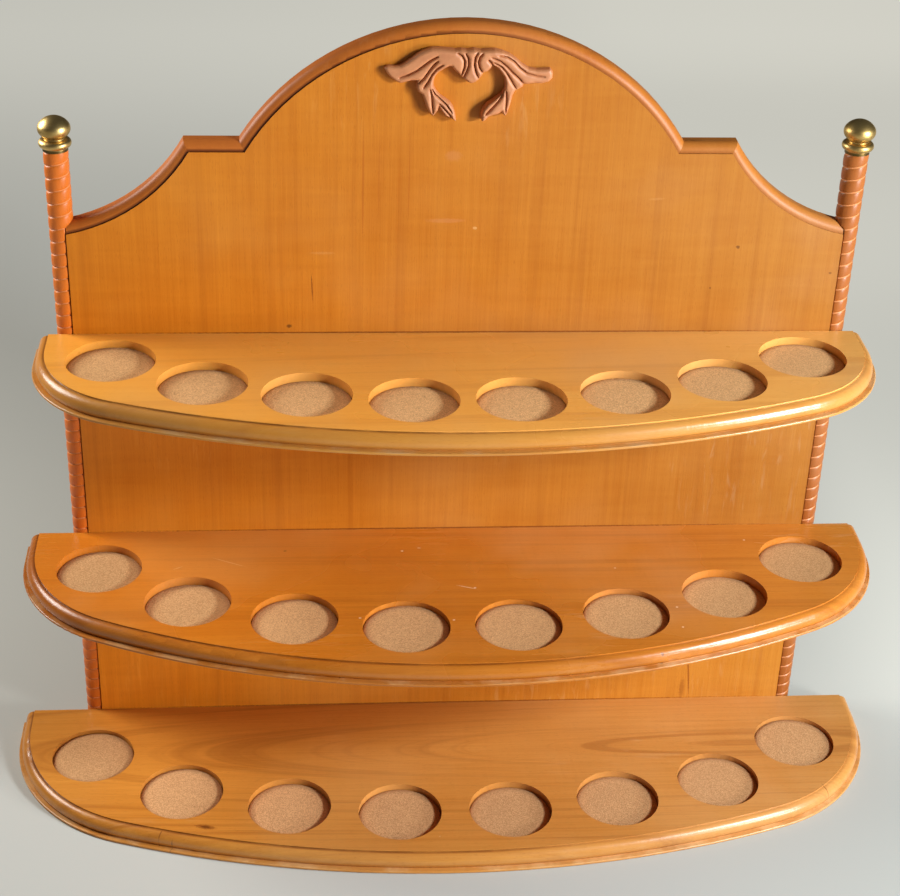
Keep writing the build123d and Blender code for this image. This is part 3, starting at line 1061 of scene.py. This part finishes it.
def select_top(piece: Piece) -> None:
    """Selects only the faces that look up.

    Args:
        piece: The mesh object, in edit mode.
    """
    mesh = bmesh.from_edit_mesh(piece.data)
    for part in (*mesh.verts, *mesh.edges, *mesh.faces):
        part.select = False
    for face in mesh.faces:
        face.select = face.normal.z > 0.9
    bmesh.update_edit_mesh(piece.data)
    bpy.ops.mesh.select_mode(type="FACE")


def middle_of(node: str) -> Vector:
    """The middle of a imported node's box."""
    low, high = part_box(node)
    return (low + high) / 2


@dataclass
class TurnedPosts:
    """The two rods with their fine helical groove, scribed over the ends of the board."""

    pitch: float = 8.6 * MM
    groove_depth: float = 0.85 * MM
    groove_width: float = 2.0 * MM
    land_swell: float = 0.18 * MM
    steps: int = 40
    gap: float = 0.85 * MM
    finish: VarnishedWood = VarnishedWood(
        "post_finish", Grain.UPRIGHT, (222, 124, 48), (192, 92, 30), (150, 70, 30),
        haze=0.1, roughness=0.38, seed=4.4, rings=0.15, streaks=0.4, fibres=0.3, clouds=0.8, gloss=0.4,
        # Painted light on the left post and painted shade on the right one
        cathedral=0.08, left_painted_light=(1.15, 1.08, 0.68), right_painted_light=(0.52, 0.60, 0.70),
    )

    def build(self, effects: SharedEffects) -> None:
        """Makes and dresses both posts.

        Args:
            effects: The shared node groups.
        """
        low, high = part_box("right_post")
        groove = RodGroove(((low.x + high.x) / 2, (low.y + high.y) / 2), (high.x - low.x) / 2)
        material = self.finish.material(effects, groove)
        board = self.merged_board()
        for side in ("left", "right"):
            post = self.turn(f"{side}_post_turned", f"{side}_post")
            apply_modifier(post, "BOOLEAN", operation="DIFFERENCE", solver="EXACT", object=board)
            settle(post)
            dress(post, material)
            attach(post, BODY)
            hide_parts(f"{side}_post")
            LOG.info("%s: %d faces", post.name, len(post.data.polygons))
        bpy.data.objects.remove(board)

    def merged_board(self) -> Piece:
        """A closed copy of the backboard, swollen by the gap, to cut the posts with.

        Returns:
            The copy, which is removed after the cuts.
        """
        board = added("board_cutter", bpy.data.objects["backboard"].data.copy())
        with editing(board):
            bpy.ops.mesh.remove_doubles(threshold=WELD)
        apply_modifier(board, "DISPLACE", direction="NORMAL", mid_level=0.0, strength=self.gap)
        return board

    def turn(self, name: str, node: str) -> Piece:
        """Turns one rod with its groove, and trims it at both ends.

        Args:
            name: The piece's name.
            node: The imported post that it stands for.

        Returns:
            The closed rod.
        """
        low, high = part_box(node)
        middle = (low + high) / 2
        radius = (high.x - low.x) / 2
        land = self.pitch - self.groove_width
        shoulder = radius - self.land_swell - self.groove_depth * 0.12
        swells = ((0, 1), (0.25, 0.25), (0.5, 0), (0.75, 0.25), (1, 1))
        groove = ((0.16, shoulder), (0.5, radius - self.groove_depth), (0.84, shoulder))
        profile = [(radius - self.land_swell * drop, land * share) for share, drop in swells]
        profile += [(reach, land + self.groove_width * share) for share, reach in groove]
        profile.append((radius - self.land_swell, self.pitch))
        rod = drawn_line(name, [(x, 0, z - 2 * self.pitch) for x, z in profile])
        turns = math.ceil(high.z / self.pitch) + 3
        apply_modifier(
            rod, "SCREW", angle=math.tau, screw_offset=self.pitch, iterations=turns, steps=self.steps,
            render_steps=self.steps, use_merge_vertices=True, merge_threshold=0.00001,
        )
        with editing(rod):
            for level, keep_above in ((low.z, True), (high.z, False)):
                bpy.ops.mesh.select_all(action="SELECT")
                bpy.ops.mesh.bisect(
                    plane_co=(0, 0, level), plane_no=(0, 0, 1), use_fill=True,
                    clear_inner=keep_above, clear_outer=not keep_above,
                )
        rod.location = (middle.x, middle.y, 0)
        settle(rod)
        return rod


# The carving from the front, in millimetres from the rack's middle and up from the table: two scrolled leaves
# and a bud, and the grooves in them
OUTLINE = (
    (-0.8, 512.8), (3.4, 513.5), (8, 512.7), (11.8, 513.1), (16.4, 513.3), (21, 512.2), (25.7, 510.2), (29.6, 507.6),
    (33.7, 504), (37.6, 501.6), (42.3, 500.7), (46.2, 500.9), (51.2, 501.2), (52.8, 498.9), (52.7, 495.4),
    (50.5, 493), (45.9, 491.9), (42, 492.2), (37.8, 491.7), (34.9, 491.7), (34.5, 490), (32.9, 489), (30, 487.5),
    (28.5, 484.5), (27.7, 480.4), (26.7, 476.4), (25.7, 473.1), (24.6, 471), (23.1, 472.3), (22.1, 474.1),
    (20.1, 472.5), (16.6, 471.6), (13.9, 470.6), (12.1, 468.4), (9.8, 467.5), (9.4, 470.2), (9.6, 473.1),
    (10.6, 475.9), (12.8, 478.7), (15.8, 480.8), (19.6, 483.5), (22, 485.6), (23.2, 488.4), (23.4, 492.4),
    (22.5, 496.4), (20.4, 499.6), (18, 502.3), (15.4, 503.8), (14.2, 501.8), (12.2, 499.9), (9.9, 499.2),
    (8.5, 496.7), (7, 494.6), (4.9, 493), (2.6, 492.2), (0.3, 493.1), (-2.5, 495.5), (-4.1, 497), (-5.9, 498.8),
    (-7.9, 500.5), (-9.9, 503), (-11.5, 502.9), (-14.9, 500.9), (-17.9, 498.9), (-19.8, 496.2), (-20.6, 493),
    (-20.4, 489.8), (-18.7, 486.6), (-16.3, 483.8), (-13.2, 481.7), (-10, 479.4), (-7.9, 476.2), (-6.6, 472.2),
    (-5.9, 467.5), (-9.6, 469.9), (-12.9, 471.3), (-15.5, 474.6), (-16.8, 477.4), (-17.5, 474.5), (-20.2, 470.8),
    (-23, 473.5), (-25.1, 477.7), (-26.3, 481.7), (-27.5, 484.8), (-29.9, 486.4), (-31.1, 488.9), (-31.1, 491.5),
    (-30, 493.5), (-34.3, 493.5), (-38.1, 492.4), (-41.1, 491.6), (-44.2, 493.2), (-47.3, 495.6), (-49.5, 498.3),
    (-50.8, 501.1), (-48.9, 502.3), (-45.1, 502.1), (-41.3, 502.7), (-37.9, 504.7), (-34.5, 507.3), (-30.8, 510.1),
    (-27, 512.3), (-22.5, 513.8), (-17.2, 513.8), (-11.9, 513.4), (-8, 512.9), (-4.2, 513.3),
)
GROOVES = (
    ((-42.1, 495), (-36.6, 497), (-31.3, 499.8), (-26.8, 503.4), (-23.1, 506.4), (-18.2, 509.4)),
    ((-30, 491.7), (-26.5, 495.5), (-23.5, 500.1), (-20.7, 504), (-18.1, 506.6)),
    ((-26.9, 488.8), (-23.9, 493.3), (-21.7, 497.6), (-19, 501.1), (-15, 504.1)),
    ((-22.6, 488.6), (-21.6, 484.2), (-21.2, 479.4), (-20.4, 472.5)),
    ((-21.5, 488.6), (-19.5, 485), (-16.1, 482), (-12.2, 478.4), (-8.7, 473.4)),
    ((-17.1, 479.4), (-13.6, 475.8), (-8.8, 470.4)),
    ((-6.9, 511.8), (-3.7, 509.8), (-2, 506.5), (-2.2, 502.4), (-3.7, 498)),
    ((-1.7, 511.7), (0.1, 508.1), (0.4, 503.8), (-0.9, 499.8), (-2.4, 496.4)),
    ((5.9, 512.1), (4.3, 508.6), (4, 504.2), (4.9, 499.9), (7, 495.5)),
    ((9.2, 511.5), (7.1, 509), (6.3, 505.8), (7.2, 502.3), (9, 499.4)),
    ((12.4, 507.4), (14.4, 505.2), (15.3, 503.5)),
    ((18.4, 510), (23.8, 509.1), (28.2, 506.4), (32.1, 502.2), (36.6, 498.7), (42.5, 497), (48, 496.4)),
    ((14.3, 508.9), (19.7, 506.5), (23.9, 503.2), (27.7, 499.2), (31.8, 495.5), (34.9, 492.1)),
    ((15.5, 505.7), (20.7, 502.9), (23.9, 499.2), (26.8, 494.7), (30.4, 488.7)),
    ((24.1, 487.7), (24.8, 482), (24.6, 477.2), (24.7, 472.7)),
    ((22.5, 485.4), (19.7, 481), (15.6, 476.2), (11.8, 472.1)),
)


@dataclass
class CarvedOrnament:
    """The applied carving under the arch: two scrolled leaves and a bud, in millimetres."""

    thickness: float = 7.6
    tip_thickness: float = 5.2
    full_until: float = 8
    thinning_over: float = 44
    voxel: float = 0.37
    groove_width: float = 0.85
    groove_share: float = 0.44
    groove_end: float = 0.3
    groove_taper: float = 0.22
    rib_width: float = 2.6
    rib_share: float = 0.26
    edge_width: float = 2.2
    edge_share: float = 0.42
    finish: CarvedFinish = CarvedFinish()

    def build(self) -> None:
        """Makes and dresses the carving."""
        carving = self.blank()
        self.carve(carving)
        settle(carving, 60.0)
        dress(carving, self.finish.material())
        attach(carving, BODY)
        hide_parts("carved_applique")
        LOG.info("%s: %d faces", carving.name, len(carving.data.polygons))

    def blank(self) -> Piece:
        """Saws the outline from a flat board and gives it an even skin of small faces.

        Returns:
            The blank, with its back on the face of the board.
        """
        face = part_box("backboard")[0].y
        blank = drawn_line("carved_ornament", [(x * MM, face, z * MM) for x, z in OUTLINE])
        with editing(blank):
            bpy.ops.mesh.edge_face_add()
            bpy.ops.mesh.extrude_region_move(TRANSFORM_OT_translate={"value": (0, -self.thickness * MM, 0)})
            bpy.ops.mesh.select_all(action="SELECT")
            bpy.ops.mesh.normals_make_consistent(inside=False)
        apply_modifier(blank, "REMESH", mode="VOXEL", voxel_size=self.voxel * MM)
        return blank

    def carve(self, carving: Piece) -> None:
        """Lowers the skin of the blank to the ribs, veins and rounded edges.

        Args:
            carving: The blank.
        """
        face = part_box("backboard")[0].y
        places = np.empty(len(carving.data.vertices) * 3)
        carving.data.vertices.foreach_get("co", places)
        places = places.reshape(-1, 3)
        flat = places[:, (0, 2)] / MM
        edge, _ = distances(flat, OUTLINE + OUTLINE[:1])
        rim = 1 - self.edge_share * (1 - rounded(edge / self.edge_width))
        cut = np.zeros(len(flat))
        for line in GROOVES:
            away, along = distances(flat, line)
            end = rounded(np.minimum(along, 1 - along) / self.groove_taper)
            full = self.groove_end + (1 - self.groove_end) * end
            groove = self.groove_share * full * (1 - rounded(away / (self.groove_width * full)))
            cut = np.maximum(cut, groove + self.rib_share * full * (1 - rounded(away / self.rib_width)))
        reach = np.clip((np.abs(flat[:, 0]) - self.full_until) / self.thinning_over, 0, 1)
        full = self.thickness + (self.tip_thickness - self.thickness) * reach
        places[:, 1] = face - (face - places[:, 1]) / self.thickness * (full * rim * (1 - cut))
        carving.data.vertices.foreach_set("co", places.ravel())
        carving.data.update()


def rounded(share: np.ndarray) -> np.ndarray:
    """A quarter round of a share of its width: 0 at 0, 1 from 1 on."""
    return np.sqrt(1 - (1 - np.clip(share, 0, 1)) ** 2)


def distances(points: np.ndarray, line: tuple[Pair, ...]) -> tuple[np.ndarray, np.ndarray]:
    """How far each point is from a chain of straight runs, and where along it.

    Args:
        points: The points, two numbers each.
        line: The corners of the chain.

    Returns:
        One distance for each point, and the share of the chain's length at the nearest place.
    """
    corners = np.array(line)
    lengths = np.linalg.norm(np.diff(corners, axis=0), axis=1)
    nearest = np.full(len(points), np.inf)
    share = np.zeros(len(points))
    passed = 0.0
    for start, end, length in zip(corners, corners[1:], lengths):
        run = end - start
        along = np.clip((points - start) @ run / (run @ run), 0, 1)
        gap = np.linalg.norm(points - start - along[:, None] * run, axis=1)
        share = np.where(gap < nearest, (passed + along * length) / lengths.sum(), share)
        nearest = np.minimum(nearest, gap)
        passed += length
    return nearest, share


@dataclass(frozen=True)
class CorkRow:
    """The discs of one shelf, from left to right: their depths in millimetres below its top, and their brightness
    factors, each partly the disc's own tone and partly painted shade.
    """

    tier: str
    depths: tuple[float, ...]
    tones_and_shades: tuple[float, ...]


@dataclass
class CorkPads:
    """The cork discs on the floors of the jar seats."""

    rings: int = 14
    segments: int = 72
    edge_round: float = 0.35 * MM
    roughness: float = 0.12 * MM
    bumps: float = 420
    seed: int = 24
    rows: tuple[CorkRow, ...] = (
        CorkRow(
            "upper", (4.9, 5.4, 5.7, 5.6, 5.6, 5.0, 5.0, 5.0), (0.86, 0.95, 1.04, 1.05, 1.05, 1.02, 0.98, 0.95)
        ),
        CorkRow(
            "middle", (4.9, 6.0, 4.3, 3.2, 3.2, 3.8, 5.8, 4.8), (0.75, 0.83, 0.90, 0.90, 0.89, 0.86, 0.80, 0.74)
        ),
        CorkRow(
            "base", (2.6, 3.2, 4.4, 4.3, 4.6, 4.4, 3.8, 3.0), (0.82, 0.90, 0.97, 0.87, 0.78, 0.78, 0.78, 0.77)
        ),
    )
    finish: CorkFinish = CorkFinish()

    def build(self) -> None:
        """Makes one disc and copies it into every seat."""
        low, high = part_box("cork_pad_upper_1")
        thickness = high.z - low.z
        material = self.finish.material()
        pattern = self.disc((high.x - low.x) / 2, thickness)
        draw = random.Random(self.seed)
        for row in self.rows:
            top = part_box(f"{row.tier}_shelf")[1].z
            for number, (depth, tone) in enumerate(zip(row.depths, row.tones_and_shades), 1):
                name = f"cork_pad_{row.tier}_{number}"
                pad = added(name.replace("pad", "disc"), pattern.data.copy())
                middle = middle_of(name)
                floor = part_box(name)[0].z
                swell = Matrix.Scale((top - depth * MM - floor) / thickness, 4, (0, 0, 1))
                turn = Matrix.Rotation(draw.uniform(0, math.tau), 4, "Z")
                pad.data.transform(Matrix.Translation((middle.x, middle.y, floor)) @ turn @ swell)
                # Painted shade, partly the disc's own tone: the disc's brightness factor
                shade = pad.data.attributes.new(TONE_AND_SHADE, "FLOAT_COLOR", "POINT")
                for vertex in pad.data.vertices:
                    shade.data[vertex.index].color = (tone, tone, tone, 1.0)
                dress(pad, material)
                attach(pad, BODY)
                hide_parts(name)
            LOG.info("cork discs in the %s shelf", row.tier)
        bpy.data.objects.remove(pattern)

    def disc(self, radius: float, height: float) -> Piece:
        """Models one disc with a softened, slightly uneven top.

        Args:
            radius: Its radius, in metres.
            height: Its height, in metres.

        Returns:
            The disc, standing on z = 0 at the middle.
        """
        disc = cylinder("cork_pattern", self.segments, radius, height, height / 2)
        with editing(disc):
            select_top(disc)
            bpy.ops.mesh.inset(thickness=self.edge_round)
            for _ in range(self.rings):
                bpy.ops.mesh.inset(thickness=(radius - self.edge_round) / (self.rings + 0.5))
        for vertex in [v for v in disc.data.vertices if v.co.z > height - WELD / 10]:
            if math.hypot(vertex.co.x, vertex.co.y) > radius - self.edge_round / 2:
                vertex.co.z -= self.edge_round
            else:
                vertex.co.z -= self.roughness * (0.5 + 0.5 * noise.noise(vertex.co * self.bumps))
        settle(disc, 50.0)
        share = disc.data.attributes.new(RIM, "FLOAT", "POINT")
        for vertex in disc.data.vertices:
            share.data[vertex.index].value = math.hypot(vertex.co.x, vertex.co.y) / radius
        return disc


@dataclass
class ShelfScrews:
    """The countersunk screws from behind, with their cross recesses."""

    radius: float = 3.5 * MM
    shank_radius: float = 1.75 * MM
    head_height: float = 2.013 * MM
    head_rim: float = 0.25 * MM
    length: float = 30.0 * MM
    slot_width: float = 0.9 * MM
    slot_length: float = 4.2 * MM
    slot_depth: float = 1.3 * MM
    spread: float = 10 * MM
    seed: int = 5
    finish: SteelFinish = SteelFinish()

    def build(self, frame: dict) -> None:
        """Makes one screw and copies it to every place.
        """
        material = self.finish.material()
        pattern = self.screw()
        draw = random.Random(self.seed)
        for node in sorted(name for name in frame["nodes"] if name.endswith("_screws")):
            copies = []
            for place in self.heads(frame["nodes"][node]):
                copy = added(node + "_part", pattern.data.copy())
                turn = Matrix.Rotation(draw.uniform(0, math.tau), 4, "Y")
                copy.data.transform(Matrix.Translation(place) @ turn)
                copies.append(copy)
            only(copies[0])
            for copy in copies:
                copy.select_set(True)
            bpy.ops.object.join()
            screws = bpy.context.object
            screws.name = node.replace("screws", "screw_set")
            dress(screws, material)
            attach(screws, BODY)
            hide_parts(node)
            LOG.info("%s: %d screws", screws.name, len(copies))
        bpy.data.objects.remove(pattern)

    def heads(self, node: Piece) -> list[Vector]:
        """The middles of the heads' faces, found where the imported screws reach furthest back.

        Args:
            node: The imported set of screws.

        Returns:
            One place for each screw.
        """
        columns: dict[int, list[Vector]] = {}
        for vertex in node.data.vertices:
            columns.setdefault(round(vertex.co.x / self.spread), []).append(vertex.co)
        groups: list[list[Vector]] = []
        for key in sorted(columns):
            if key - 1 not in columns:
                groups.append([])
            groups[-1].extend(columns[key])
        places = []
        for group in groups:
            low, high = (Vector([end(v[i] for v in group) for i in range(3)]) for end in (min, max))
            places.append(Vector(((low.x + high.x) / 2, high.y, (low.z + high.z) / 2)))
        return places

    def screw(self) -> Piece:
        """Models one screw that points along -Y with the face of its head at the origin.

        Returns:
            The screw.
        """
        shank = self.length - self.head_height
        screw = cylinder("screw_pattern", 32, self.shank_radius, shank, -(self.length + self.head_height) / 2)
        swell = self.radius / self.shank_radius
        with editing(screw):
            select_top(screw)
            cone = (0, 0, self.head_height - self.head_rim)
            bpy.ops.mesh.extrude_region_move(TRANSFORM_OT_translate={"value": cone})
            bpy.ops.transform.resize(value=(swell, swell, 1))
            bpy.ops.mesh.extrude_region_move(TRANSFORM_OT_translate={"value": (0, 0, self.head_rim)})
        for turn in (0, math.pi / 2):
            bpy.ops.object.select_all(action="DESELECT")
            bpy.ops.mesh.primitive_cube_add(size=1, location=(0, 0, 0))
            blade = bpy.context.object
            blade.scale = (self.slot_length, self.slot_width, 2 * self.slot_depth)
            blade.rotation_euler = (0, 0, turn)
            bpy.ops.object.transform_apply(location=True, rotation=True, scale=True)
            apply_modifier(screw, "BOOLEAN", operation="DIFFERENCE", solver="EXACT", object=blade)
            bpy.data.objects.remove(blade)
        screw.rotation_euler = (-math.pi / 2, 0, 0)
        settle(screw, 30.0)
        return screw


@dataclass
class BrassFinials:
    """The turned balls and collars on the posts, with the studs inside them."""

    skirt_height: float = 2.0 * MM
    steel: SteelFinish = SteelFinish("stud_zinc_plate")

    def build(self, frame: dict) -> None:
        """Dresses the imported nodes.
        """
        brass = BrassFinish(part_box("left_finial_collar")[0].z + self.skirt_height).material()
        finishes = {"ball": brass, "stud": self.steel.material(), "collar": brass}
        for side in ("left", "right"):
            for part, material in finishes.items():
                dress(frame["nodes"][f"{side}_finial_{part}"], material)
            LOG.info("dressed %s finial", side)


def main() -> None:
    """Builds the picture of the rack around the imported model."""
    logging.basicConfig(level=logging.INFO, format="%(name)s: %(message)s")
    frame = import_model()
    effects = SharedEffects()
    Studio().build()
    WoodenParts().build(frame, effects)
    TurnedPosts().build(effects)
    CarvedOrnament().build()
    CorkPads().build()
    ShelfScrews().build(frame)
    BrassFinials().build(frame)


if __name__ == "__main__":
    main()
